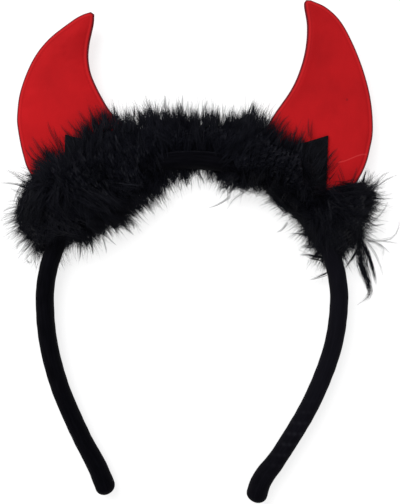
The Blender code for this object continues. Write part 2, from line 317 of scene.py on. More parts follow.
def face_out(thing):
    """Merges doubles and turns the faces of a closed piece outwards."""
    build = bmesh.new()
    build.from_mesh(thing.data)
    bmesh.ops.remove_doubles(build, verts=build.verts, dist=2e-6)
    bmesh.ops.recalc_face_normals(build, faces=build.faces)
    build.to_mesh(thing.data)
    build.free()


band_line = smooth_line(np.vstack([LEFT_LEG[::-1], ellipse(np.arange(180, -1, -5)), RIGHT_LEG]))
band_length = line_length(band_line)[-1]
band_tip = BAND_THICK / 2
round_off = np.radians(np.linspace(6, 90, BAND_TIP_RINGS))
near_tip = band_tip * (1.0 - np.cos(round_off))
band_middle = np.linspace(band_tip, band_length - band_tip, BAND_RINGS)[1:-1]
band_at = np.concatenate([near_tip, band_middle, band_length - near_tip[::-1]])
band_size = np.concatenate([np.sin(round_off), np.ones(len(band_middle)), np.sin(round_off)[::-1]])
from_left = np.clip(1.0 - band_at / TIP_SWELL_LENGTH, 0.0, 1.0)
from_right = np.clip(1.0 - (band_length - band_at) / TIP_SWELL_LENGTH, 0.0, 1.0)
band_size *= 1.0 + LEFT_TIP_SWELL * from_left**TIP_SWELL_POWER
band_size *= 1.0 + RIGHT_TIP_SWELL * from_right**TIP_SWELL_POWER
band_centre = read_line(band_line, band_at)
band_way = unit(np.gradient(band_centre, axis=0))
band_out = np.stack([-band_way[:, 1], band_way[:, 0]], axis=-1)

# Round the band, 0 is straight out of the arch and a quarter turn is the front. The cover
# has a fold along the outer edge at the crown, faint ripples, and pulls near the right tip.
band_turn = np.linspace(0.0, math.tau, BAND_SIDES, endpoint=False)
band_grid_at, band_grid_turn = np.meshgrid(band_at, band_turn, indexing="ij")
band_x, band_y = band_centre.T
arch_angle = np.degrees(np.arctan2(band_y / ARCH_HEIGHT, band_x / ARCH_HALF_WIDTH))
at_crown = np.clip((arch_angle - FOLD_ENDS[0]) / FOLD_FADES, 0, 1)
at_crown = at_crown * np.clip((FOLD_ENDS[1] - arch_angle) / FOLD_FADES, 0, 1)
fold = np.exp(-(((band_grid_turn - FOLD_TURN) / FOLD_WIDTH) ** 2)) * at_crown[:, None]
ripple = RIPPLE * np.sin(band_grid_at * 0.9 + 2.0 * np.sin(band_grid_turn))
ripple = ripple * np.sin(band_grid_turn * 3.0 + band_grid_at * 0.13)
pull_off = (band_grid_at - (band_length - PULLS_FROM_TIP)) / PULLS_REACH
pulled = np.exp(-(pull_off**2)) * np.clip(np.sin(band_grid_turn), 0, 1)
pulled = pulled * np.maximum(np.sin(band_grid_at * 1.15 + 2.6 * np.cos(band_grid_turn)), 0.0) ** 6
swell = FOLD_SWELL * fold + ripple + PULLS_SWELL * pulled
half_across = (BAND_THICK / 2 * band_size)[:, None] + swell * band_size[:, None]
half_up = (BAND_DEPTH / 2 * band_size)[:, None] + swell * band_size[:, None]
band_points = np.stack([
    band_centre[:, :1] + band_out[:, :1] * half_across * np.cos(band_grid_turn),
    band_centre[:, 1:] + band_out[:, 1:] * half_across * np.cos(band_grid_turn),
    half_up * np.sin(band_grid_turn),
], axis=-1)
band_faces = grid_faces(len(band_at), BAND_SIDES, closed=True)
band_flat, band_faces = close_ends(lifted(band_points), band_faces, len(band_at), BAND_SIDES)

velvet, velvet_shader, velvet_here = new_material("black_velvet", {
    "Roughness": 0.8,
    "Specular IOR Level": 0.03,
    "Sheen Weight": 0.006,
    "Sheen Roughness": 0.35,
    "Sheen Tint": (0.75, 0.75, 1.0, 1.0),
})
band = new_object("band", band_flat, band_faces, velvet)
pole = [0.0, 0.0]
add_numbers(band, "along", [*band_grid_at.ravel(), 0.0, band_length])
add_numbers(band, "round", [*(band_grid_turn / math.tau).ravel(), *pole])
# Each point's share of painted highlight: full on the fold at the crown, less on the pulls.
add_numbers(band, "painted_highlight", [*(fold + 0.8 * pulled).ravel(), *pole])
face_out(band)

cover_x = velvet_here.stored("along") * 0.012
cover_y = velvet_here.stored("round") * 3.2
cover = velvet_here.node("CombineXYZ", {}, {"X": cover_x, "Y": cover_y, "Z": 0.0})
lines = cover.noise(9.0, 3.0)
pile = velvet_here.noise(5200.0, 2.0)
blotches = velvet_here.noise(160.0, 3.0)
to_right = velvet_here.axis("X").between(0.005, 0.06) * 0.6
lightness = lines.between(0.35, 0.75) * 0.32 + blotches.between(0.3, 0.75) * 0.16 + pile * 0.1
black = (lightness + to_right).mix(VELVET_DEEP, VELVET_PALE)
# The fold and the pulls are lightened with a painted highlight.
(velvet_here.stored("painted_highlight") * 0.9).mix(black, VELVET_HIGHLIGHT).into(velvet_shader, "Base Color")
bump(pile * 0.6 + lines * 0.4, velvet_shader, 0.12, 0.7)
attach(band, "root")
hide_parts("headband")


# --- Horns ----------------------------------------------------------------------------
# Two flat pads of red velour over thin foam, with the two faces sewn together a couple of
# millimetres inside the edge. They differ a little, as hand-cut pairs do.
HORN_RIM = 1.5
HORN_CROWN = 5.0
HORN_ROLL = 7.0
HORN_TO_BAND = 0.5
HORN_CURVED_PART = 0.35
HORN_ROWS = 110
SEAM_IN = 2.0
SEAM_WIDTH = 0.42
SEAM_DEPTH = 0.28
STITCH = 2.3
EDGE_ROUND = 0.8
LEFT_INNER = [
    (-42.6, 124.9), (-42.9, 120.5), (-44.85, 111.2), (-45.05, 103.9),
    (-43.0, 96.05), (-36.5, 83.85), (-28.9, 75.0),
]
LEFT_OUTER = [
    (-44.2, 126.0), (-48.0, 124.7), (-52.7, 121.9), (-62.75, 114.0), (-69.75, 104.75),
    (-74.9, 92.0), (-76.5, 81.4), (-76.15, 74.4), (-73.9, 63.4), (-70.5, 54.8),
]
RIGHT_INNER = [
    (49.9, 131.2), (48.9, 128.8), (50.2, 119.7), (49.5, 109.6),
    (46.9, 99.95), (42.9, 91.4), (34.7, 79.4),
]
RIGHT_OUTER = [
    (51.9, 131.1), (58.7, 127.9), (65.05, 121.75), (70.4, 112.05), (74.95, 100.5),
    (78.0, 88.85), (79.2, 77.0), (78.3, 67.8), (74.0, 54.7),
]
PUFF = 0.8
PUFF_ROWS = np.unique([*range(0, HORN_ROWS, 3), HORN_ROWS - 1])
PUFF_COLUMNS = np.array([0, 4, 8, 12, 15, 18, 21, 22, 25, 28, 31, 35, 39, 43])
PUFF_SCALE = 10.0
PUFF_SLACK = 0.03
PUFF_PRESSURE = 4.0
PUFF_QUALITY = 6
PUFF_FRAMES = 20
PUFF_ENDS = 0.72
PUFF_FADES = 0.25
PUFF_FROM_SEAM = 3.0
WAVE = 0.10
RIM_STEPS = np.array([
    0.0, 0.12, 0.3, 0.55, 0.85, 1.2, 1.5, 1.75, 2.0, 2.25, 2.5, 2.85, 3.4, 4.4, 6.0, 8.2,
])
HORN_MIDDLE = 12
RED_DEEP = (0.285, 0.0030, 0.0050, 1.0)
RED_PALE = (0.395, 0.0050, 0.0075, 1.0)
RED_SEAM = (0.19, 0.003, 0.005, 1.0)
# The next colour is a painted highlight on the rolled rim.
RED_RIM_HIGHLIGHT = (0.56, 0.020, 0.022, 1.0)
# The next colour is painted shade on the outermost edge, where the pad turns away.
RED_EDGE_SHADE = (0.11, 0.004, 0.008, 1.0)
FIBRE_FROM = (0.0681, 0.04085)
FIBRE_WAVE = 0.00175
FIBRE_COLOUR = (0.72, 0.09, 0.09, 1.0)
SPECK_PLACE = (0.0661, 0.0664)
SPECK_COLOUR = (0.12, 0.003, 0.006, 1.0)


def even_line(points, count):
    """That many points at even steps along the smooth curve through the given ones."""
    line = smooth_line(points)
    return read_line(line, np.linspace(0.0, line_length(line)[-1], count))


def distance_to_line(points, line):
    """From each point, the distance to the nearest place on the line, and how far along."""
    start, end = line[:-1], line[1:]
    way = end - start
    size = (way**2).sum(axis=1)
    off = points[:, None, :] - start
    share = np.clip((off * way).sum(axis=2) / size, 0.0, 1.0)
    gap = np.linalg.norm(off - share[..., None] * way, axis=2)
    nearest = gap.argmin(axis=1)
    row = np.arange(len(points))
    along = line_length(line)[nearest] + share[row, nearest] * np.sqrt(size[nearest])
    return gap[row, nearest], along


def horn_plan(inner, outer, base_angles):
    """A horn's flat outline filled with a grid: rows run from the inner edge to the outer.

    Near each edge the columns stand at fixed distances from it, so that the seam is sharp.
    Towards the base the rows bow until the last one follows the band.
    """
    grow = BAND_THICK / 2 + HORN_TO_BAND
    ends = np.radians(base_angles)
    half = np.array([ARCH_HALF_WIDTH + grow, ARCH_HEIGHT + grow])
    corners = np.stack([np.cos(ends), np.sin(ends)], axis=-1) * half
    inner_line = even_line([*inner, corners[0]], HORN_ROWS)
    outer_line = even_line([*outer, corners[1]], HORN_ROWS)
    width = np.linalg.norm(outer_line - inner_line, axis=1)[:, None]
    squeeze = np.minimum(1.0, width / (2.3 * RIM_STEPS[-1]))
    near = RIM_STEPS * squeeze
    spread = np.linspace(0.0, 1.0, HORN_MIDDLE + 2)[1:-1]
    middle = near[:, -1:] + (width - 2 * near[:, -1:]) * spread
    share = np.hstack([near, middle, width - near[:, ::-1]]) / width
    base_turn = ends[0] + (ends[1] - ends[0]) * share
    base = np.stack([np.cos(base_turn), np.sin(base_turn)], axis=-1) * half
    straight = corners[0] + (corners[1] - corners[0]) * share[..., None]
    row = np.linspace(0.0, 1.0, HORN_ROWS)[:, None, None]
    bend = np.clip((row - 1.0) / HORN_CURVED_PART + 1.0, 0.0, 1.0) ** 2
    flat = inner_line[:, None] + (outer_line - inner_line)[:, None] * share[..., None]
    outline = np.vstack([inner_line[::-1], outer_line])
    return flat + (base - straight) * bend, outline


def puffed(plan, half):
    """How far the filling pushes the front and the back of a pad outwards, in millimetres.

    A coarse copy of the pad, ten times as large and with 3% of slack, is held at its rim and
    blown up as cloth without gravity. Each point's lift is capped softly, by its hyperbolic
    tangent, and read back on to the fine grid.
    """
    corner = np.ix_(PUFF_ROWS, PUFF_COLUMNS)
    flat, thick = plan[corner], half[corner]
    held = np.ones(thick.shape, bool)
    held[1:-1, 1:-1] = False
    thick = np.where(held, 0.0, thick)
    front = np.arange(thick.size).reshape(thick.shape)
    back = np.where(held, front, front + thick.size)
    start = np.concatenate([
        np.column_stack([flat.reshape(-1, 2), thick.ravel()]),
        np.column_stack([flat.reshape(-1, 2), -thick.ravel()]),
    ])
    quads = grid_faces(*thick.shape)
    both = np.vstack([quads, back.ravel()[quads[:, ::-1]]])
    shell = new_object("pad_shell", start * MM * PUFF_SCALE, both, velour)
    held_points = np.flatnonzero(np.tile(held.ravel(), 2)).tolist()
    shell.vertex_groups.new(name="held").add(held_points, 1.0, "ADD")
    cloth = shell.modifiers.new("cloth", "CLOTH")
    cloth.settings.quality = PUFF_QUALITY
    cloth.settings.use_pressure = True
    cloth.settings.uniform_pressure_force = PUFF_PRESSURE
    cloth.settings.vertex_group_mass = "held"
    cloth.settings.shrink_min = -PUFF_SLACK
    cloth.settings.effector_weights.gravity = 0.0
    cloth.point_cache.frame_end = PUFF_FRAMES
    for frame_number in range(1, PUFF_FRAMES + 1):
        bpy.context.scene.frame_set(frame_number)
    done = shell.evaluated_get(bpy.context.evaluated_depsgraph_get()).data
    end = np.empty(start.size)
    done.vertices.foreach_get("co", end)
    lift = end.reshape(-1, 3)[:, 2] / (MM * PUFF_SCALE) - start[:, 2]
    bpy.data.objects.remove(shell)
    bpy.context.scene.frame_set(1)
    outwards = np.array([1.0, -1.0])[:, None, None]
    lift = PUFF * np.tanh(lift.reshape(2, *thick.shape) * outwards / PUFF)
    every_row, every_column = np.arange(plan.shape[0]), np.arange(plan.shape[1])
    fine = []
    for face in lift:
        down_rows = np.stack([np.interp(every_row, PUFF_ROWS, column) for column in face.T], axis=1)
        fine.append(np.stack([np.interp(every_column, PUFF_COLUMNS, row) for row in down_rows]))
    return np.array(fine)


def make_horn(side, inner, outer, base_angles):
    """The padded horn: half its thickness is a function of the distance from its edge.

    The lift from the cloth simulation is added, but not where the felt holds the base.
    """
    plan, outline = horn_plan(inner, outer, base_angles)
    rows, columns = plan.shape[:2]
    edge, along = distance_to_line(plan.reshape(-1, 2), outline)
    rise = np.sqrt(1.0 - np.clip(1.0 - edge / HORN_ROLL, 0.0, 1.0) ** 2)
    half = (HORN_RIM + (HORN_CROWN - HORN_RIM) * rise) / 2
    half = half * np.sqrt(1.0 - np.clip(1.0 - edge / EDGE_ROUND, 0.0, 1.0) ** 2)
    lift = np.zeros((2, rows * columns))
    to_base = np.linspace(0.0, 1.0, rows)[:, None]
    free = np.clip((PUFF_ENDS - to_base) / PUFF_FADES, 0.0, 1.0)
    lift = (puffed(plan, half.reshape(rows, columns)) * free).reshape(2, -1)
    lift = lift * np.clip((edge - SEAM_IN) / PUFF_FROM_SEAM, 0.0, 1.0)
    stitch = 0.75 + 0.25 * np.cos(along * math.tau / STITCH)
    seam = np.exp(-(((edge - SEAM_IN) / SEAM_WIDTH) ** 2))
    half = half - SEAM_DEPTH * seam * stitch
    x, y = plan.reshape(-1, 2).T
    wave = WAVE * np.sin(x * 0.33 + 0.6 * np.sin(y * 0.21)) * np.sin(y * 0.27 + 1.0)
    half = half + wave * np.clip((edge - 3.0) / 6.0, 0.0, 1.0)
    front = lifted(np.column_stack([x, y, half + lift[0]]))
    back = lifted(np.column_stack([x, y, -half - lift[1]]))
    count = rows * columns
    faces = grid_faces(rows, columns)
    across = np.arange(columns - 1)
    last = (rows - 1) * columns
    tip = np.stack([across, across + 1, across + 1 + count, across + count], axis=-1)
    base = tip + last
    down_side = np.arange(rows - 1) * columns
    next_row = down_side + columns
    rim = np.stack([down_side, next_row, next_row + count, down_side + count], axis=-1)
    every = np.vstack([faces, faces[:, ::-1] + count, tip, base, rim, rim + columns - 1])
    horn = new_object("horn_pad_" + side, np.vstack([front, back]), every, velour)
    add_numbers(horn, "edge", np.tile(edge, 2))
    add_numbers(horn, "along", np.tile(along, 2))
    face_out(horn)
    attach(horn, "root")
    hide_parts("horn_" + side)


velour, velour_shader, velour_here = new_material("red_velour", {
    "Roughness": 0.75,
    "Specular IOR Level": 0.08,
    "Sheen Weight": 0.03,
    "Sheen Roughness": 0.4,
    "Sheen Tint": (1.0, 0.25, 0.25, 1.0),
})
velour_edge = velour_here.stored("edge")
velour_x, velour_y = velour_here.axis("X"), velour_here.axis("Y")
brushed = velour_here.noise(420.0, 3.0, (1.0, 0.35, 1.0))
nap = velour_here.noise(4200.0, 2.0)
velour_tone = velour_here.noise(60.0, 3.0).between(0.3, 0.7) * 0.45 + brushed * 0.25 + nap * 0.15
# The red is lighter towards the bases of the horns and darker on the right horn.
velour_tone = velour_tone + velour_y.between(0.09, 0.05) * 0.3 - velour_x.between(-0.02, 0.02) * 0.22
seam_line = velour_edge.between(1.45, 1.95) * velour_edge.between(2.55, 2.05)
# A painted highlight on the rolled rim, between the edge and the seam.
rim_highlight = velour_edge.between(0.6, 1.0) * velour_edge.between(1.9, 1.4)
red = velour_tone.mix(RED_DEEP, RED_PALE)
red = (seam_line * 0.14).mix(red, RED_SEAM)
red = (rim_highlight * 0.22).mix(red, RED_RIM_HIGHLIGHT)
# The outermost edge, where the pad rolls away, is darkened with painted shade.
red = velour_edge.between(1.0, 0.4).mix(red, RED_EDGE_SHADE)

# A pale fibre and a dark speck lie on the right horn.
fibre_line = ((velour_x - FIBRE_FROM[0]) * 250.0).math("SINE") * FIBRE_WAVE
fibre_off = (velour_y - fibre_line - FIBRE_FROM[1]).math("ABSOLUTE")
fibre = velour_x.between(0.0618, 0.0628) * velour_x.between(0.0752, 0.0744)
fibre = fibre * fibre_off.between(0.00036, 0.0001)
red = (fibre * 0.2).mix(red, FIBRE_COLOUR)
speck_x, speck_y = velour_x - SPECK_PLACE[0], velour_y - SPECK_PLACE[1]
speck = (speck_x * speck_x + speck_y * speck_y).between(5e-7, 1e-7)
(speck * 0.45).mix(red, SPECK_COLOUR).into(velour_shader, "Base Color")
bump(nap * 0.7 + brushed * 0.5, velour_shader, 0.10, 0.6)
make_horn("left", LEFT_INNER, LEFT_OUTER, (110.5, 147.0))
make_horn("right", RIGHT_INNER, RIGHT_OUTER, (69.0, 30.0))


# --- Felt tabs ------------------------------------------------------------------------
# A strip of black felt, folded round the band from the inside, holds the base of each
# horn between its two flaps, glued. A corner of each stands up in front of the red.
FELT = 1.0
TAB_WRAP_GAP = 0.45
TAB_FLAP_GAP = 0.4
TAB_CLOSING = 9.0
TAB_ALONG = 36
TAB_WRAP = 17
TAB_FLAP = 26
TAB_SAG = 0.9
TAB_CORNER = 0.9
TAB_CORNER_SHARE = 0.075
FELT_DEEP = (0.0012, 0.0012, 0.0018, 1.0)
FELT_PALE = (0.0042, 0.0043, 0.0060, 1.0)


def tab_grid(angles, top_x, top_y):
    """The felt's inner face in sections along the band, each from flap to flap.

    A section comes down the back flap, passes round the inner side of the band as a half
    oval, and goes up the front flap to its top edge, which sags and is rounded at its corner.
    """
    wrap_x = BAND_THICK / 2 + TAB_WRAP_GAP
    wrap_z = BAND_DEPTH / 2 + TAB_WRAP_GAP
    flap_z = HORN_CROWN / 2 + TAB_FLAP_GAP
    along = np.linspace(0.0, 1.0, TAB_ALONG)[:, None]
    angle = angles[0] + (angles[1] - angles[0]) * along
    centre = ellipse(angle[:, 0])[:, None]
    turn = np.radians(angle)
    out = unit(np.stack([np.cos(turn) / ARCH_HALF_WIDTH, np.sin(turn) / ARCH_HEIGHT], axis=-1))
    top = np.stack([
        top_x[0] + (top_x[1] - top_x[0]) * along,
        top_y[0] + (top_y[1] - top_y[0]) * along,
    ], axis=-1)
    corner = TAB_CORNER * np.maximum(1.0 - along / TAB_CORNER_SHARE, 0.0) ** 2
    top = top - out * (TAB_SAG * np.sin(math.pi * along) + corner)[..., None]
    bend = np.radians(np.linspace(-90, 90, TAB_WRAP))
    wrap = centre - out * (np.cos(bend) * wrap_x)[None, :, None]
    wrap_height = np.broadcast_to(wrap_z * np.sin(bend), wrap.shape[:2])
    steps = np.linspace(0.0, 1.0, TAB_FLAP + 1)[1:]
    flap = centre + (top - centre) * steps[None, :, None]
    reach = ((top - centre) * out).sum(axis=-1)
    closing = np.clip(steps[None] * reach / TAB_CLOSING, 0.0, 1.0)
    height = wrap_z + (flap_z - wrap_z) * closing**2 * (3.0 - 2.0 * closing)
    flat = np.concatenate([flap[:, ::-1], wrap, flap], axis=1)
    up = np.concatenate([-height[:, ::-1], wrap_height, height], axis=1)
    return np.concatenate([flat, up[..., None]], axis=-1)


def make_tab(side, angles, top_x, top_y):
    """One tab from the felt's inner face, with the felt's thickness added outwards."""
    grid = tab_grid(angles, top_x, top_y)
    rows, columns = grid.shape[:2]
    faces = grid_faces(rows, columns)
    if angles[1] < angles[0]:
        faces = faces[:, ::-1]
    tab = new_object("felt_flap_" + side, lifted(grid), faces, felt)
    wall = tab.modifiers.new("wall", "SOLIDIFY")
    wall.thickness = FELT * MM
    wall.offset = 1.0
    wall.use_even_offset = True
    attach(tab, "root")
    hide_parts("felt_tab_" + side)


felt, felt_shader, felt_here = new_material("black_felt", {
    "Roughness": 0.9,
    "Specular IOR Level": 0.05,
    "Sheen Weight": 0.008,
    "Sheen Roughness": 0.5,
})
fibres = felt_here.noise(1500.0, 4.0)
felt_tone = fibres * 0.55 + felt_here.noise(280.0, 3.0) * 0.45
# The felt is lighter towards the left.
felt_tone = felt_tone + felt_here.axis("X").between(0.01, -0.04) * 0.14
felt_tone.between(0.35, 0.65).mix(FELT_DEEP, FELT_PALE).into(felt_shader, "Base Color")
bump(fibres, felt_shader, 0.25, 0.8)
make_tab("left", (151.0, 123.0), (-55.9, -33.9), (72.6, 67.0))
make_tab("right", (27.0, 57.0), (60.1, 37.0), (72.2, 66.0))


# --- Down trim ------------------------------------------------------------------------
# Marabou down, bound along a cord and glued behind the crown and round the horns' bases.
# It is a dense dark undercoat with thousands of curved barbs in tufts, which come to
# points, and single long wisps between them. Where it lies on the table it is pressed flat.
TRIM = np.array([
    # angle, outer radius, inner radius, top
    (14.8, 66.5, 61.0, 10.0), (16.4, 70.0, 60.0, 13.0), (18, 74.8, 59.4, 15.5), (20, 80.0, 58.8, 18.0),
    (23, 83.0, 58.6, 21.0), (26, 88.4, 58.4, 24.0), (29, 92.6, 58.2, 25.5), (31.5, 94.4, 58.0, 26.5),
    (34.0, 91.4, 58.0, 26.0), (34.5, 82.5, 58.0, 24.0), (35.2, 76.0, 58.0, 23.0), (36.8, 72.5, 58.0, 22.5),
    (40, 74.5, 58.0, 24.0), (43, 80.0, 57.8, 25.0), (45, 83.5, 57.6, 26.0), (50, 85.2, 56.8, 26.0),
    (56, 83.4, 57.4, 25.0), (62, 82.4, 57.8, 24.0), (68, 85.6, 54.2, 23.0), (73, 85.8, 52.0, 20.5),
    (78, 82.0, 54.8, 17.0), (84, 82.0, 58.6, 16.0), (90, 80.8, 56.2, 16.0), (97, 83.3, 53.2, 16.5),
    (102, 85.4, 50.6, 17.0), (105, 85.8, 49.8, 18.0), (108, 82.2, 48.6, 19.0), (111, 85.4, 47.4, 21.0),
    (115, 89.0, 46.2, 22.5), (119, 89.6, 45.8, 23.5), (123, 88.4, 45.4, 24.5), (129, 87.2, 45.0, 26.5),
    (132, 88.6, 45.4, 27.5), (136, 89.8, 45.8, 28.0), (140, 88.8, 48.2, 28.0), (143, 88.2, 48.8, 28.0),
    (146, 87.4, 49.6, 28.0), (149, 85.6, 50.8, 27.0), (151.5, 85.0, 51.8, 25.0), (154, 85.4, 58.4, 23.0),
    (157, 82.8, 61.6, 20.0), (160, 77.6, 63.0, 16.0), (163, 71.0, 64.0, 13.0),
])
TRIM_WAIST = 0.38
TRIM_PRESSED = 1.35
# Each of these tables gives a share or a factor at an angle of the arch: how deep the valley
# is, how far a horn fills the outer side, where a horn is behind, and how wild the wisps are.
VALLEY = np.array([(72, 0.0), (81, 1.0), (101, 1.0), (113, 0.0)])
HORN_FROM = np.array([(70, 1.0), (78, 0.0), (102, 0.0), (109, 1.0)])
BEHIND_HORNS = np.array([
    (32, 0.0), (36, 1.0), (70, 1.0), (76, 0.0), (104, 0.0), (110, 1.0), (146, 1.0), (150, 0.0),
])
WILDER = np.array([
    (30, 1.6), (38, 1.0), (76, 1.0), (82, 1.3), (106, 1.3), (112, 1.0), (148, 1.0), (153, 1.8),
])
VALLEY_WIDTH = 5.5
VALLEY_FLOOR = 7.5
HORN_SIDE = 0.72
BAND_BARE = (80.5, 101.0)
BAND_BARE_WIDTH = 3.2
BAND_BARE_ABOVE = 11.5
FELT_SHOWS = np.array([
    # middle x, middle y, half width, half height of each corner of felt left bare
    (54.2, 59.5, 6.2, 10.0),
    (-52.8, 69.6, 4.0, 4.5),
])
UNDER_FELT = 12.0
FELT_BARE_ABOVE = 13.0
UNDERCOAT_SINK = 3.6
UNDERCOAT_RIM_SINK = 2.2
UNDERCOAT_HORN_RISE = 0.9
UNDERCOAT_ROWS = 260
UNDERCOAT_SIDES = 84
HUBS = np.array([
    # angle, share of the way from the band's line to the hub, hub x, hub y, hub height
    (18, 1.0, 60.7, 42.2, 13.0), (34, 1.0, 60.7, 42.2, 13.0), (60, 0.0, 60.7, 42.2, 5.0),
    (86, 0.0, 60.7, 42.2, 3.0), (108, 0.0, -55.9, 51.5, 3.0), (136, 0.7, -55.9, 51.5, 14.0),
    (150, 1.0, -55.9, 51.5, 14.0),
])
HUB_CHANGES = 98.0
PLUMES_IN_FRONT = 0.9
PLUMES_AT_RIM = 2.0
PLUMES_BEHIND = 0.3
PLUMES = 1300
TUFTS = 4
BARBS = 14
BARB_RINGS = np.array([0.0, 0.30, 0.55, 0.76, 0.91, 1.0])
BARB_WIDTH = 0.17
SPIKES = 1150
SPIKE_BARBS = 14
SPIKE_LONGEST = 5.2
WISPS = 3000
WISP_LONGEST = 10.0
WISP_SUNK = 2.0
WISP_HAIRS = 9
OWN_SPIKE_BARBS = 12
HORN_OVERLAPS = ((39.0, 73.0), (108.0, 146.0))
PRESSED_BELOW = 1.6
LOWEST = 0.03
DOWN_DEEP = (0.0011, 0.0012, 0.0025, 1.0)
DOWN_PALE = (0.0066, 0.0070, 0.0115, 1.0)
PIECE_EDGES = (0.0, 40.0, 62.0, 92.0, 118.0, 140.0, 180.0)
PIECE_NAMES = (
    "down_right_end", "down_right", "down_crown_right",
    "down_crown_left", "down_left", "down_left_end",
)
draw = np.random.default_rng(11)


def at_angle(table, angle, column=1):
    """The number in a table's column at an angle, in a straight line between its rows."""
    return np.interp(angle, table[:, 0], table[:, column])


def bare_felt(x, y):
    """1 inside the places where the felt's corners show, and 0 well outside them."""
    found = np.zeros(np.shape(x))
    for middle_x, middle_y, half_x, half_y in FELT_SHOWS:
        off = ((x - middle_x) / half_x) ** 4 + ((y - middle_y) / half_y) ** 4
        found = np.maximum(found, np.clip(1.6 - off, 0.0, 1.0))
    return found


def down_form(angle, turn, sink=0.0):
    """The outer form of the dense down, at an angle of the arch and a turn of its section.

    A section is a dome over a waist, flat underneath. Along the crown a valley runs where
    the band lies in front, and the dome stays under the bare corners of felt.
    """
    outer = at_angle(TRIM, angle) - sink
    inner = at_angle(TRIM, angle, 2) + sink
    top = at_angle(TRIM, angle, 3) - sink
    waist = top * TRIM_WAIST
    radius = (outer + inner) / 2 + (outer - inner) / 2 * np.cos(turn)
    up = np.sin(turn)
    height = np.where(up > 0, waist + (top - waist) * up, waist * (1.0 + TRIM_PRESSED * up))
    off = radius - np.linalg.norm(ellipse(angle), axis=-1)
    narrow = 1.0 - HORN_SIDE * at_angle(HORN_FROM, angle) * (off > 0)
    dip = at_angle(VALLEY, angle) * np.exp(-((off / (VALLEY_WIDTH * narrow)) ** 2))
    dip = dip * np.minimum(VALLEY_FLOOR - sink - height, 0.0)
    height = np.where(up > 0, height + dip, height)
    x, y = radius * np.cos(np.radians(angle)), radius * np.sin(np.radians(angle))
    dip = bare_felt(x, y) * np.minimum(UNDER_FELT - sink - height, 0.0)
    height = np.where(up > 0, height + dip, height)
    return np.stack([x, y, np.maximum(height, 0.3 * sink)], axis=-1)


def standing(points):
    """World places, in metres, of points with heights from the table."""
    return (points + np.array([*ARCH_CENTRE, 0.0])) * MM


def spread_plumes(count):
    """Random places on the down's form, dense at its rims and in front and sparse behind."""
    angle = np.linspace(TRIM[0, 0], TRIM[-1, 0], 361)
    turn = np.linspace(0.0, math.tau, 181)
    middles = (angle[1:] + angle[:-1]) / 2, (turn[1:] + turn[:-1]) / 2
    a, t = np.meshgrid(*middles, indexing="ij")
    corner = down_form(*np.meshgrid(angle, turn, indexing="ij"))
    along = corner[1:, :-1] - corner[:-1, :-1]
    round_it = corner[:-1, 1:] - corner[:-1, :-1]
    area = np.linalg.norm(np.cross(along, round_it), axis=-1)
    up = np.sin(t)
    below = np.where(up > -0.4, PLUMES_AT_RIM, PLUMES_BEHIND)
    weight = area * np.where(up > 0.35, PLUMES_IN_FRONT, below)
    place = down_form(a, t)
    weight = weight * (1.0 - bare_felt(place[..., 0], place[..., 1]) * (up > -0.2))
    off_band = np.linalg.norm(place[..., :2], axis=-1) - np.linalg.norm(ellipse(a), axis=-1)
    over_band = (np.abs(off_band) < 4.6) & (up > 0) & (a > BAND_BARE[0] - 2) & (a < BAND_BARE[1])
    weight = (weight * ~over_band).ravel()
    chosen = draw.choice(weight.size, size=count, p=weight / weight.sum())
    jitter = draw.uniform(-0.5, 0.5, (2, count))
    return (
        a.ravel()[chosen] + jitter[0] * (angle[1] - angle[0]),
        t.ravel()[chosen] + jitter[1] * (turn[1] - turn[0]),
    )


def form_normal(angle, turn):
    """The direction straight out of the down's form."""
    small = 0.4
    along = down_form(angle + small, turn) - down_form(angle - small, turn)
    round_it = down_form(angle, turn + 0.03) - down_form(angle, turn - 0.03)
    return unit(np.cross(round_it, along))


def hub_of(angle):
    """The place that the plumes at this angle spread from: the band's line, or a horn's base."""
    share = at_angle(HUBS, angle)[..., None]
    right = np.asarray(angle) < HUB_CHANGES
    hub_x = np.where(right, HUBS[0, 2], HUBS[-1, 2])
    hub_y = np.where(right, HUBS[0, 3], HUBS[-1, 3])
    hub = np.stack([hub_x, hub_y], axis=-1)
    flat = ellipse(angle) * (1.0 - share) + hub * share
    return np.concatenate([flat, at_angle(HUBS, angle, 4)[..., None]], axis=-1)


def rim_places(count):
    """Random places on the outline that the down shows from the front, and their ways out.

    The outline runs along the outer rim, over the far end, back along the inner rim and over
    the near end. Returns the angle, the place, the way out and whether a horn is behind it.
    """
    angle = np.linspace(TRIM[0, 0], TRIM[-1, 0], 400)
    outer, inner = down_form(angle, 0.0), down_form(angle, math.pi)
    share = np.linspace(0.0, 1.0, 20)[:, None]
    far = outer[-1] + (inner[-1] - outer[-1]) * share
    near = inner[0] + (outer[0] - inner[0]) * share
    loop = np.vstack([outer, far, inner[::-1], near])
    at_end, at_start = np.full(20, angle[-1]), np.full(20, angle[0])
    loop_angle = np.concatenate([angle, at_end, angle[::-1], at_start])
    is_outer = np.concatenate([np.ones(400), np.zeros(440)])
    at = draw.uniform(0.0, line_length(loop)[-1], count)
    place = read_line(loop, at)
    ahead = read_line(loop, at + 0.8) - read_line(loop, at - 0.8)
    out = unit(np.stack([ahead[:, 1], -ahead[:, 0]], axis=-1))
    turned = np.interp(at, line_length(loop), loop_angle)
    from_hub = unit(place[:, :2] - hub_of(turned)[:, :2])
    way = unit(0.75 * from_hub + 0.55 * out + draw.normal(0.0, 0.13, (count, 2)))
    overlaps = np.zeros(count, bool)
    for start, end in HORN_OVERLAPS:
        overlaps |= (turned > start) & (turned < end)
    overlaps &= np.interp(at, line_length(loop), is_outer) > 0.5
    return turned, place, way, overlaps


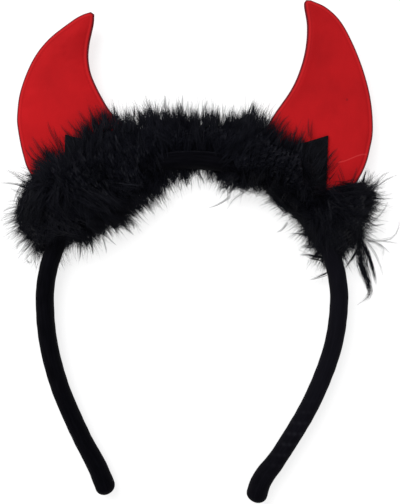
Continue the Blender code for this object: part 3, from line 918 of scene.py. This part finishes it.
def rim_heights(place, overlaps):
    """Random heights at the rim, on both sides of the widest level or of a horn."""
    horn_middle = ARCH_MIDDLE_HEIGHT + place[:, 1] * math.sin(LIFT)
    in_front = draw.random(len(place)) < 0.75
    off = HORN_CROWN / 2 + draw.uniform(0.3, 3.6, len(place))
    by_horn = np.where(in_front, horn_middle + off, horn_middle - off)
    free = place[:, 2] * draw.uniform(0.3, 1.3, len(place))
    return np.where(overlaps, by_horn, free)


def press(points):
    """Points near the table are pressed towards it and never pass through it."""
    height = points[..., 2]
    soft = PRESSED_BELOW * np.exp(np.minimum(height, PRESSED_BELOW) / PRESSED_BELOW - 1.0)
    points[..., 2] = np.where(height < PRESSED_BELOW, soft, height)
    return points


def random_side(way):
    """A random direction square to each of these."""
    any_way = draw.normal(size=way.shape)
    return unit(any_way - (any_way * way).sum(axis=-1, keepdims=True) * way)


def tuft_lines(root, tip, bow, count, spread, loose_share):
    """The middle lines of the barbs of each tuft, and how wide each is.

    The barbs start apart, run from root to tip on one bow, and come together in a point. A
    share of them is loose: finer, and scattered at the tip. Some of those reach beyond it.
    """
    shape = (len(root), count, 1)
    way = unit(tip - root)
    side = random_side(way)
    other = np.cross(way, side)
    disk = draw.normal(0.0, 1.0, (len(root), count, 2))
    apart = disk[..., :1] * side[:, None] + disk[..., 1:] * other[:, None]
    loose = draw.random(shape) < loose_share
    beyond = loose & (draw.random(shape) < 0.4)
    reach = np.where(beyond, draw.uniform(1.05, 1.45, shape), draw.uniform(0.74, 1.06, shape))
    scatter = draw.normal(0.0, 1.0, (len(root), count, 3)) * np.where(loose, 1.1, 0.22)
    wave_way = draw.normal(0.0, 0.15, (len(root), count, 1, 3))
    wave_start = draw.uniform(0.0, math.tau, shape)[..., None]
    s = BARB_RINGS[None, None, :, None]
    part = reach[..., None] * s
    line = root[:, None, None] + (tip - root)[:, None, None] * part
    line = line + bow[:, None, None] * (part * (1.0 - part))
    line = line + apart[:, :, None] * spread * (0.88 * (1.0 - s) ** 0.8 + 0.12)
    line = line + scatter[:, :, None] * s**2 + wave_way * np.sin(s * 9.0 + wave_start) * s
    width = draw.uniform(0.7, 1.3, shape) * np.where(loose, 0.6, 1.0)
    return line.reshape(-1, BARB_RINGS.size, 3), width.reshape(-1, 1)


def tapered(width):
    """The width at each ring of barbs that are this many times as wide as the usual one."""
    return BARB_WIDTH * width * (1.0 - BARB_RINGS**2.4)


def ribbons(centre, width):
    """Flat tapered barbs along their middle lines, each to a single point at its tip.

    centre is (barbs, rings, 3) and width is (barbs, rings). Each is turned at random.
    """
    way = np.gradient(centre, axis=1)
    facing = draw.normal(size=(len(centre), 1, 3))
    edge = unit(np.cross(way, facing)) * (width / 2)[..., None]
    pairs = np.stack([centre - edge, centre + edge], axis=2)[:, :-1]
    points = np.concatenate([pairs.reshape(len(centre), -1, 3), centre[:, -1:]], axis=1)
    points[..., 2] = np.maximum(points[..., 2], LOWEST)
    return points


def barb_object(name, centre, width, tone, node):
    """One object of many barbs with the same number of points, laid out flat on a map.

    On the map named OFBake each barb has a cell of its own, in a square of cells.
    """
    points = ribbons(centre, width)
    count, size = points.shape[:2]
    steps = (size - 1) // 2
    pair = 2 * np.arange(steps - 1)
    quads = np.stack([pair, pair + 1, pair + 3, pair + 2], axis=-1)
    tip = np.array([size - 3, size - 2, size - 1])
    loops = np.concatenate([quads.ravel(), tip])
    sizes = np.array([4] * (steps - 1) + [3])
    all_loops = (loops[None] + np.arange(count)[:, None] * size).ravel()
    all_sizes = np.tile(sizes, count)
    mesh = bpy.data.meshes.new(name)
    mesh.vertices.add(count * size)
    mesh.vertices.foreach_set("co", standing(points).astype(np.float32).ravel())
    mesh.loops.add(all_loops.size)
    mesh.loops.foreach_set("vertex_index", all_loops.astype(np.int32))
    mesh.polygons.add(all_sizes.size)
    starts = np.concatenate([[0], np.cumsum(all_sizes)[:-1]])
    mesh.polygons.foreach_set("loop_start", starts.astype(np.int32))
    mesh.update(calc_edges=True)
    mesh.shade_smooth()
    side = math.ceil(math.sqrt(count))
    cell = np.arange(count)
    corner = np.stack([cell % side, cell // side], axis=-1) / side
    inside_x = np.concatenate([np.tile([0.12, 0.88], steps), [0.5]])
    inside_y = np.concatenate([np.repeat(np.linspace(0.08, 0.75, steps), 2), [0.94]])
    inside = np.stack([inside_x, inside_y], axis=-1) / side
    places = (corner[:, None] + inside[None]).reshape(-1, 2)[all_loops]
    mesh.uv_layers.new(name="OFBake").data.foreach_set("uv", places.astype(np.float32).ravel())
    mesh.materials.append(down)
    thing = bpy.data.objects.new(name, mesh)
    bpy.context.scene.collection.objects.link(thing)
    along = np.concatenate([np.repeat(np.linspace(0.0, 1.0, steps + 1)[:-1], 2), [1.0]])
    add_numbers(thing, "along", np.broadcast_to(along, (count, size)))
    add_numbers(thing, "tone", np.repeat(tone, size))
    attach(thing, "root")
    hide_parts(node)


# The undercoat is the form of the dense down, sunk under the ends of the barbs and rough.
coat_angle, coat_turn = np.meshgrid(
    np.linspace(TRIM[0, 0] + 2.5, TRIM[-1, 0] - 2.5, UNDERCOAT_ROWS),
    np.linspace(0.0, math.tau, UNDERCOAT_SIDES, endpoint=False),
    indexing="ij",
)
rough = (
    0.5 * np.sin(coat_angle * 1.9 + 3.0 * np.sin(coat_turn * 3.0))
    + 0.4 * np.sin(coat_angle * 4.3 + coat_turn * 7.0)
    + 0.35 * draw.normal(size=coat_angle.shape)
)
behind_horns = at_angle(BEHIND_HORNS, coat_angle) * (np.cos(coat_turn) > 0)
at_rim = (UNDERCOAT_RIM_SINK - UNDERCOAT_HORN_RISE * behind_horns) * np.cos(coat_turn) ** 4
coat_points = down_form(coat_angle, coat_turn, UNDERCOAT_SINK + rough + at_rim)
coat_points[..., 2] = np.maximum(coat_points[..., 2], 0.4)
coat_faces = grid_faces(UNDERCOAT_ROWS, UNDERCOAT_SIDES, closed=True)
coat_flat, coat_faces = close_ends(
    standing(coat_points), coat_faces, UNDERCOAT_ROWS, UNDERCOAT_SIDES
)

down, down_shader, down_here = new_material("black_down", {
    "Roughness": 0.55,
    "Specular IOR Level": 0.08,
})
tone_and_painted_light = down_here.stored("along") * 0.3 + down_here.stored("tone") * 0.25
tone_and_painted_light = tone_and_painted_light + down_here.noise(45.0, 2.0).between(0.3, 0.7) * 0.3
# The down is paler towards the crown, which is painted light.
tone_and_painted_light = tone_and_painted_light + down_here.axis("Y").between(0.012, 0.048) * 0.3
tone_and_painted_light.mix(DOWN_DEEP, DOWN_PALE).into(down_shader, "Base Color")

undercoat = new_object("down_undercoat", coat_flat, coat_faces, down)
undercoat.data.shade_flat()
face_out(undercoat)
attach(undercoat, "root")
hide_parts("feather_trim")

# The plumes stand on the form and part into tufts. Neighbours lean the same way.
plume_angle, plume_turn = spread_plumes(PLUMES)
plume_end = down_form(plume_angle, plume_turn)
plume_out = form_normal(plume_angle, plume_turn)
plume_way = unit(plume_end - hub_of(plume_angle)) + 0.35 * plume_out
lean = np.stack([
    np.sin(plume_end[:, 0] * 0.35 + plume_end[:, 1] * 0.22),
    np.sin(plume_end[:, 1] * 0.41 - plume_end[:, 0] * 0.19 + 2.0),
    np.zeros(PLUMES),
], axis=-1)
plume_way = plume_way + 0.10 * lean + np.clip(draw.normal(0.0, 0.13, (PLUMES, 3)), -0.26, 0.26)
plume_way[:, 2] = np.where(plume_way[:, 2] < 0, 0.12 * plume_way[:, 2], plume_way[:, 2])
plume_way = unit(plume_way)
plume_beyond = np.minimum(draw.normal(-0.6, 0.8, PLUMES), 0.9)
plume_bow = draw.normal(0.0, 1.3, (PLUMES, 3)) - 0.9 * plume_out
tuft_side = np.repeat(random_side(plume_way), TUFTS, axis=0)
tuft_way = np.repeat(plume_way, TUFTS, axis=0)
tuft_other = np.cross(tuft_way, tuft_side)
tuft_count = PLUMES * TUFTS
tuft_apart = draw.normal(0.0, 1.6, (2, tuft_count, 1))
tuft_apart = tuft_apart[0] * tuft_side + tuft_apart[1] * tuft_other
tuft_beyond = np.repeat(plume_beyond, TUFTS) + draw.normal(0.0, 0.7, tuft_count)
tuft_end = np.repeat(plume_end, TUFTS, axis=0)
tuft_tip = tuft_end + tuft_way * tuft_beyond[:, None] + tuft_apart
tuft_root = tuft_end - tuft_way * draw.uniform(8.0, 12.5, (tuft_count, 1)) + tuft_apart * 0.4
tuft_bow = np.repeat(plume_bow, TUFTS, axis=0)
coat_lines, coat_width = tuft_lines(tuft_root, tuft_tip, tuft_bow, BARBS, 1.2, 0.34)
coat_angles = np.repeat(plume_angle, TUFTS * BARBS)

# Sharp spikes stand out all round the rim, and over the base of each horn.
spike_angle, spike_base, spike_way, spike_over = rim_places(SPIKES)
spike_height = rim_heights(spike_base, spike_over)
spike_out = 0.3 + draw.gamma(2.0, 0.85, SPIKES) * np.where(spike_over, 1.35, 1.0)
spike_out = np.minimum(spike_out, SPIKE_LONGEST)[:, None]
spike_tip = np.column_stack([
    spike_base[:, :2] + spike_way * spike_out,
    spike_height + draw.normal(0.0, 0.7, SPIKES),
])
spike_root = np.column_stack([
    spike_base[:, :2] - spike_way * draw.uniform(4.5, 7.5, (SPIKES, 1)),
    spike_height + draw.uniform(-1.0, 1.6, SPIKES),
])
spike_bow = draw.normal(0.0, 1.6, (SPIKES, 3)) * np.array([1.0, 1.0, 0.4])
spike_lines, spike_width = tuft_lines(spike_root, spike_tip, spike_bow, SPIKE_BARBS, 1.0, 0.22)
spike_width = spike_width * 1.15
spike_angles = np.repeat(spike_angle, SPIKE_BARBS)

# Single wisps reach further, some of them curled.
wisp_angle, wisp_base, wisp_way, wisp_over = rim_places(WISPS)
wisp_height = rim_heights(wisp_base, wisp_over)[:, None]
wilder = at_angle(WILDER, wisp_angle)[:, None]
wisp_out = np.minimum(1.8 + draw.gamma(2.0, 1.25, (WISPS, 1)) * wilder, WISP_LONGEST)
wisp_square = np.stack([-wisp_way[:, 1], wisp_way[:, 0]], axis=-1)
wisp_curl = np.where(draw.random((WISPS, 1)) < 0.2, 2.4, 0.8) * draw.normal(0.0, 1.0, (WISPS, 1))
wisp_s = BARB_RINGS[None, :, None]
wisp_start = wisp_base[:, :2] - WISP_SUNK * wisp_way
wisp_flat = wisp_start[:, None] + (wisp_way * (wisp_out + WISP_SUNK))[:, None] * wisp_s
wisp_flat = wisp_flat + (wisp_square * wisp_curl)[:, None] * (wisp_s**2 - 0.5 * wisp_s)
wisp_rise = draw.normal(0.0, 1.2, (WISPS, 1))
wisp_up = wisp_height + wisp_rise * BARB_RINGS
wisp_lines = np.concatenate([wisp_flat, wisp_up[..., None]], axis=-1)
wisp_width = draw.uniform(0.5, 0.95, (WISPS, 1))

barb_lines = press(np.concatenate([coat_lines, spike_lines, wisp_lines]))
barb_angles = np.concatenate([coat_angles, spike_angles, wisp_angle])
barb_width = tapered(np.concatenate([coat_width, spike_width, wisp_width]))
barb_tones = draw.uniform(0.0, 1.0, len(barb_lines))

# No barb crosses the front of the band where it shows at the crown, and few cross the felt.
line_angle = np.degrees(np.arctan2(barb_lines[..., 1], barb_lines[..., 0]))
line_off = np.linalg.norm(barb_lines[..., :2], axis=-1)
line_off = line_off - np.linalg.norm(ellipse(line_angle), axis=-1)
line_height = barb_lines[..., 2]
crossing = (np.abs(line_off) < BAND_BARE_WIDTH) & (line_height > BAND_BARE_ABOVE)
frayed = draw.normal(0.0, 1.5, (len(barb_lines), 1))
crossing &= (line_angle > BAND_BARE[0] + frayed) & (line_angle < BAND_BARE[1] + frayed)
over_felt = bare_felt(barb_lines[..., 0], barb_lines[..., 1]) > 0.6
over_felt &= line_height > FELT_BARE_ABOVE
left_out = over_felt.any(axis=1) & (draw.random(len(barb_lines)) < 0.85)
kept = ~(crossing.any(axis=1) | left_out)
for name, start, end in zip(PIECE_NAMES, PIECE_EDGES, PIECE_EDGES[1:]):
    chosen = kept & (barb_angles >= start) & (barb_angles < end)
    barb_object(name, barb_lines[chosen], barb_width[chosen], barb_tones[chosen], "feather_trim")

# The longest wisps, the sharpest spikes and the locks over the red, each in its own place.
LONG_WISPS = np.array([
    # flat places of its start, middle and tip
    (-73.9, 52.8, -78.3, 55.9, -82.1, 57.4), (-73.9, 50.4, -79.2, 51.4, -84.5, 51.5),
    (-74.4, 46.6, -77.4, 47.7, -79.8, 49.2), (-73.9, 42.7, -77.9, 43.6, -81.0, 43.3),
    (-74.4, 41.4, -79.6, 40.7, -83.7, 38.5), (-74.8, 39.2, -80.1, 37.6, -84.5, 35.0),
    (-75.7, 35.2, -80.5, 34.1, -83.7, 32.6), (-75.7, 29.0, -78.3, 27.5, -80.2, 26.4),
    (-72.6, 27.3, -76.3, 24.9, -77.0, 22.0), (-71.3, 25.1, -73.0, 22.4, -75.1, 21.1),
    (-70.4, 23.3, -72.4, 19.8, -73.0, 17.2), (-73.0, 17.2, -71.3, 16.3, -70.8, 18.9),
    (-68.6, 21.6, -69.2, 18.0, -68.4, 13.6), (-67.1, 20.2, -67.8, 18.5, -68.2, 16.7),
    (-52.8, 26.8, -53.9, 23.8, -55.4, 22.0), (-39.2, 26.8, -38.1, 23.3, -37.7, 20.2),
    (-37.0, 28.2, -35.2, 26.0, -32.6, 24.0), (-26.8, 34.3, -25.7, 32.6, -25.5, 30.8),
    (-5.3, 53.7, -4.6, 50.6, -5.1, 48.0), (14.5, 51.0, 15.8, 46.6, 15.0, 41.8),
    (16.3, 44.9, 11.9, 42.0, 6.6, 40.3), (22.4, 47.1, 18.0, 44.0, 15.2, 39.2),
    (42.2, 34.3, 39.6, 31.2, 37.0, 29.9), (80.7, 50.4, 83.2, 54.3, 87.8, 56.6),
    (79.2, 48.4, 84.5, 52.6, 91.5, 55.4), (79.6, 48.8, 81.4, 51.5, 82.3, 53.7),
    (78.3, 33.9, 83.2, 38.1, 86.2, 43.7), (78.8, 45.8, 81.0, 47.5, 82.1, 49.3),
    (79.2, 40.5, 81.4, 41.8, 83.2, 43.7), (84.0, 26.2, 89.6, 28.6, 91.3, 35.8),
    (76.6, 26.4, 82.7, 26.4, 91.5, 24.9),
    (77.4, 26.0, 82.7, 24.2, 87.4, 20.1), (81.8, 24.6, 83.9, 22.0, 83.6, 17.6),
    (77.0, 25.1, 81.2, 19.4, 84.3, 10.1), (76.6, 32.6, 80.5, 32.8, 85.1, 33.4),
    (76.6, 29.5, 79.2, 30.1, 81.8, 29.9), (78.8, 50.2, 78.8, 54.1, 80.1, 56.8),
    (77.4, 51.0, 77.9, 55.0, 76.6, 58.1), (-4.4, 82.7, -4.2, 86.7, -4.0, 90.2),
    (-12.3, 84.5, -11.9, 87.6, -12.3, 90.2), (-18.9, 83.6, -18.9, 85.8, -19.1, 88.0),
    (4.4, 81.0, 5.3, 84.5, 7.3, 87.8), (-1.8, 82.3, -2.0, 84.9, -1.8, 87.8),
    (-28.2, 81.0, -28.8, 83.6, -27.9, 85.8), (27.3, 82.7, 26.8, 85.4, 27.7, 88.0),
    (17.6, 81.0, 18.0, 83.6, 18.9, 86.0),
]).reshape(-1, 3, 2)
OWN_SPIKES = np.array([
    # root x, y, height and tip x, y, height
    (54.0, 28.4, 6.0, 42.8, 29.2, 6.0), (56.0, 27.6, 6.0, 45.5, 29.4, 6.0),
    (56.0, 26.8, 6.0, 46.5, 28.8, 6.0), (57.0, 23.4, 6.0, 48.4, 23.0, 5.5),
    (59.5, 17.6, 6.0, 47.4, 20.0, 5.5), (59.5, 18.6, 6.0, 48.8, 20.6, 5.5),
    (60.0, 16.6, 6.0, 49.8, 19.4, 5.5), (61.6, 12.8, 5.5, 51.9, 9.0, 3.5),
    (54.0, 24.8, 6.0, 47.5, 23.2, 6.0), (73.6, 22.6, 6.0, 67.2, 13.4, 5.0),
    (73.2, 21.6, 6.0, 67.6, 13.8, 5.0), (75.6, 35.0, 8.0, 81.9, 39.2, 8.0),
    (74.6, 50.0, 9.0, 76.4, 57.4, 9.0),
    (-72.0, 49.0, 8.0, -77.6, 51.3, 8.0), (-72.0, 32.3, 6.0, -78.6, 28.8, 6.0),
    (-49.5, 28.7, 5.0, -49.9, 17.0, 4.0), (-45.0, 27.4, 5.0, -43.6, 19.4, 4.0),
    (-35.3, 33.6, 5.0, -32.1, 28.8, 4.0), (-31.5, 34.9, 5.0, -26.0, 28.4, 4.0),
    (2.4, 56.6, 5.0, 5.6, 50.9, 4.0), (16.4, 50.4, 5.0, 11.4, 49.7, 5.0),
    (19.0, 50.7, 5.0, 15.8, 46.2, 5.0), (46.8, 41.9, 5.0, 41.4, 39.2, 5.0),
    (-25.5, 80.0, 9.0, -25.5, 86.2, 10.0), (-6.2, 81.7, 8.0, -6.2, 87.6, 9.0),
    (26.8, 80.8, 9.0, 26.8, 85.8, 10.0),
]).reshape(-1, 2, 3)
OVER_HORNS = np.array([
    # flat places of the start, middle and tip of thin locks that lie over the red
    (-57.2, 66.4, -60.7, 72.6, -62.7, 77.9), (-48.4, 73.0, -51.9, 75.5, -54.1, 78.8),
    (-39.2, 79.6, -40.9, 82.7, -41.8, 86.2), (-44.4, 76.6, -47.1, 79.4, -49.3, 82.7),
    (-64.2, 63.4, -67.3, 67.8, -69.5, 71.7), (-66.0, 61.2, -69.1, 64.7, -70.8, 68.2),
    (-66.9, 59.0, -70.4, 62.9, -73.0, 67.3), (-55.9, 67.3, -59.0, 71.3, -60.3, 76.1),
    (-60.7, 62.9, -63.8, 66.9, -66.0, 70.8), (-51.5, 70.4, -55.0, 73.5, -57.2, 76.6),
    (-42.2, 78.3, -44.0, 81.8, -44.9, 84.9), (38.3, 75.2, 40.0, 78.3, 42.5, 80.5),
    (50.6, 71.3, 50.4, 75.7, 50.6, 79.4), (51.5, 70.8, 51.9, 74.8, 52.4, 78.8),
    (44.0, 71.3, 45.3, 73.9, 44.9, 76.1), (36.5, 77.4, 37.4, 80.1, 38.7, 82.3),
    (40.5, 74.4, 41.4, 76.6, 43.1, 78.3), (66.4, 49.3, 65.1, 54.6, 63.1, 59.4),
    (68.2, 48.8, 70.4, 53.7, 71.7, 58.5), (59.4, 62.0, 61.6, 64.7, 63.4, 66.0),
    (59.4, 59.0, 62.0, 61.6, 63.8, 63.1), (59.4, 55.0, 62.0, 58.1, 63.8, 60.1),
    (59.4, 51.5, 61.6, 54.6, 63.4, 56.8), (65.6, 48.0, 64.2, 52.4, 63.1, 55.9),
    (60.3, 48.4, 62.0, 50.6, 63.4, 52.8),
]).reshape(-1, 3, 2)
own_bow = draw.normal(0.0, 1.0, (len(OWN_SPIKES), 3))
own_root, own_tip = OWN_SPIKES[:, 0], OWN_SPIKES[:, 1]
own_lines, own_width = tuft_lines(own_root, own_tip, own_bow, OWN_SPIKE_BARBS, 0.45, 0.1)

# A hair runs through its three places on a parabola: t is 0, 1/2 and 1 there.
hair_t = BARB_RINGS[:, None]
hair_places = np.moveaxis(np.vstack([LONG_WISPS, OVER_HORNS]), 1, 0)
start, middle, tip = (place[:, None] for place in hair_places)
hairs = start * (1 - hair_t) * (1 - 2 * hair_t) + 4 * middle * hair_t * (1 - hair_t)
hairs = hairs + tip * hair_t * (2 * hair_t - 1)
hairs = np.repeat(hairs, WISP_HAIRS, axis=0)
hairs = hairs + draw.normal(0.0, 0.40, (len(hairs), 1, 2)) * (1.0 - 0.5 * hair_t)
in_front = ARCH_MIDDLE_HEIGHT + OVER_HORNS[:, 1, 1] * math.sin(LIFT) + HORN_CROWN / 2 + 2.2
hair_height = np.concatenate([np.full(len(LONG_WISPS), 7.0), in_front])
hair_height = np.repeat(hair_height, WISP_HAIRS)[:, None]
hair_height = hair_height + draw.normal(0.0, 0.6, hair_height.shape)
hair_height = hair_height + draw.normal(0.0, 0.6, (len(hairs), 1)) * BARB_RINGS
hair_lines = np.concatenate([hairs, hair_height[..., None]], axis=-1)
own_lines = press(np.concatenate([own_lines, hair_lines]))
own_width = np.concatenate([own_width * 1.3, draw.uniform(0.38, 0.7, (len(hair_lines), 1))])
own_tones = draw.uniform(0.0, 0.6, len(own_lines))
barb_object("down_long_wisps", own_lines, tapered(own_width), own_tones, "feather_trim")


# --- Stray plume ----------------------------------------------------------------------
# One down feather that has come out of the trim's right end and hangs loose beside the
# leg: a thin quill with long soft barbs, which have parted into two dark streaks.
QUILL = np.array([
    # x, y and height
    (70.6, 35.0, 8.0), (72.6, 29.4, 7.0), (74.0, 22.5, 5.0), (75.2, 15.5, 3.2),
    (77.2, 9.8, 2.4), (78.5, 5.6, 2.0), (78.8, 2.2, 1.6), (76.8, 0.0, 1.2), (73.6, -2.4, 0.8),
])
RIGHT_STREAK = np.array([
    (71.6, 33.0, 7.8), (74.8, 26.0, 6.2), (77.2, 21.6, 5.0), (79.0, 17.0, 3.6),
    (80.4, 12.1, 2.8), (81.4, 8.0, 2.2), (82.2, 4.4, 2.0),
])
MIDDLE_STREAK = np.array([
    (73.8, 27.0, 6.2), (76.0, 20.4, 4.6), (77.8, 15.0, 3.2), (79.2, 10.0, 2.4), (80.4, 6.2, 1.8),
])
STREAKS = (
    # middle line, barbs, share of the line that a barb spans, spread, how far it narrows
    (QUILL, 340, 0.38, 1.75, 0.9),
    (RIGHT_STREAK, 130, 0.42, 0.62, 0.4),
    (MIDDLE_STREAK, 36, 0.45, 0.8, 0.0),
)
QUILL_THICK = 0.42
QUILL_RINGS = 60
QUILL_SIDES = 8


def streak_lines(points, count, span, spread, tight):
    """Barbs that lie along a streak. Each starts on it, bows a little off it and returns."""
    line = smooth_line(points)
    whole = line_length(line)[-1]
    first = draw.uniform(0.0, 1.0 - span, (count, 1))
    at = (first + span * draw.uniform(0.75, 1.0, (count, 1)) * BARB_RINGS) * whole
    centre = read_line(line, at.ravel()).reshape(count, BARB_RINGS.size, 3)
    off = draw.normal(0.0, spread, (count, 1, 3)) * np.array([1.0, 0.4, 0.5])
    bulge = np.sin(math.pi * (0.15 + 0.75 * BARB_RINGS))[:, None]
    return centre + off * bulge * (1.0 - tight * first[:, :, None])


stray_lines = press(np.concatenate([streak_lines(*streak) for streak in STREAKS]))
stray_width = tapered(draw.uniform(0.7, 1.2, (len(stray_lines), 1)))
stray_tones = draw.uniform(0.1, 0.9, len(stray_lines))
barb_object("stray_plume", stray_lines, stray_width, stray_tones, "loose_plume")

quill_line = smooth_line(QUILL)
quill_at = np.linspace(0.0, line_length(quill_line)[-1], QUILL_RINGS)
quill_middle = read_line(quill_line, quill_at)
quill_way = unit(np.gradient(quill_middle, axis=0))
quill_side = unit(np.cross(quill_way, np.array([0.0, 0.0, 1.0])))
quill_up = np.cross(quill_side, quill_way)
quill_turn = np.linspace(0.0, math.tau, QUILL_SIDES, endpoint=False)[None, :, None]
quill_half = (QUILL_THICK / 2 * np.linspace(1.0, 0.25, QUILL_RINGS))[:, None, None]
quill_ring = np.cos(quill_turn) * quill_side[:, None] + np.sin(quill_turn) * quill_up[:, None]
quill_points = quill_middle[:, None] + quill_half * quill_ring
quill_faces = grid_faces(QUILL_RINGS, QUILL_SIDES, closed=True)
quill_flat, quill_faces = close_ends(standing(quill_points), quill_faces, QUILL_RINGS, QUILL_SIDES)
quill = new_object("stray_quill", quill_flat, quill_faces, down)
face_out(quill)
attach(quill, "root")
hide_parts("loose_plume")
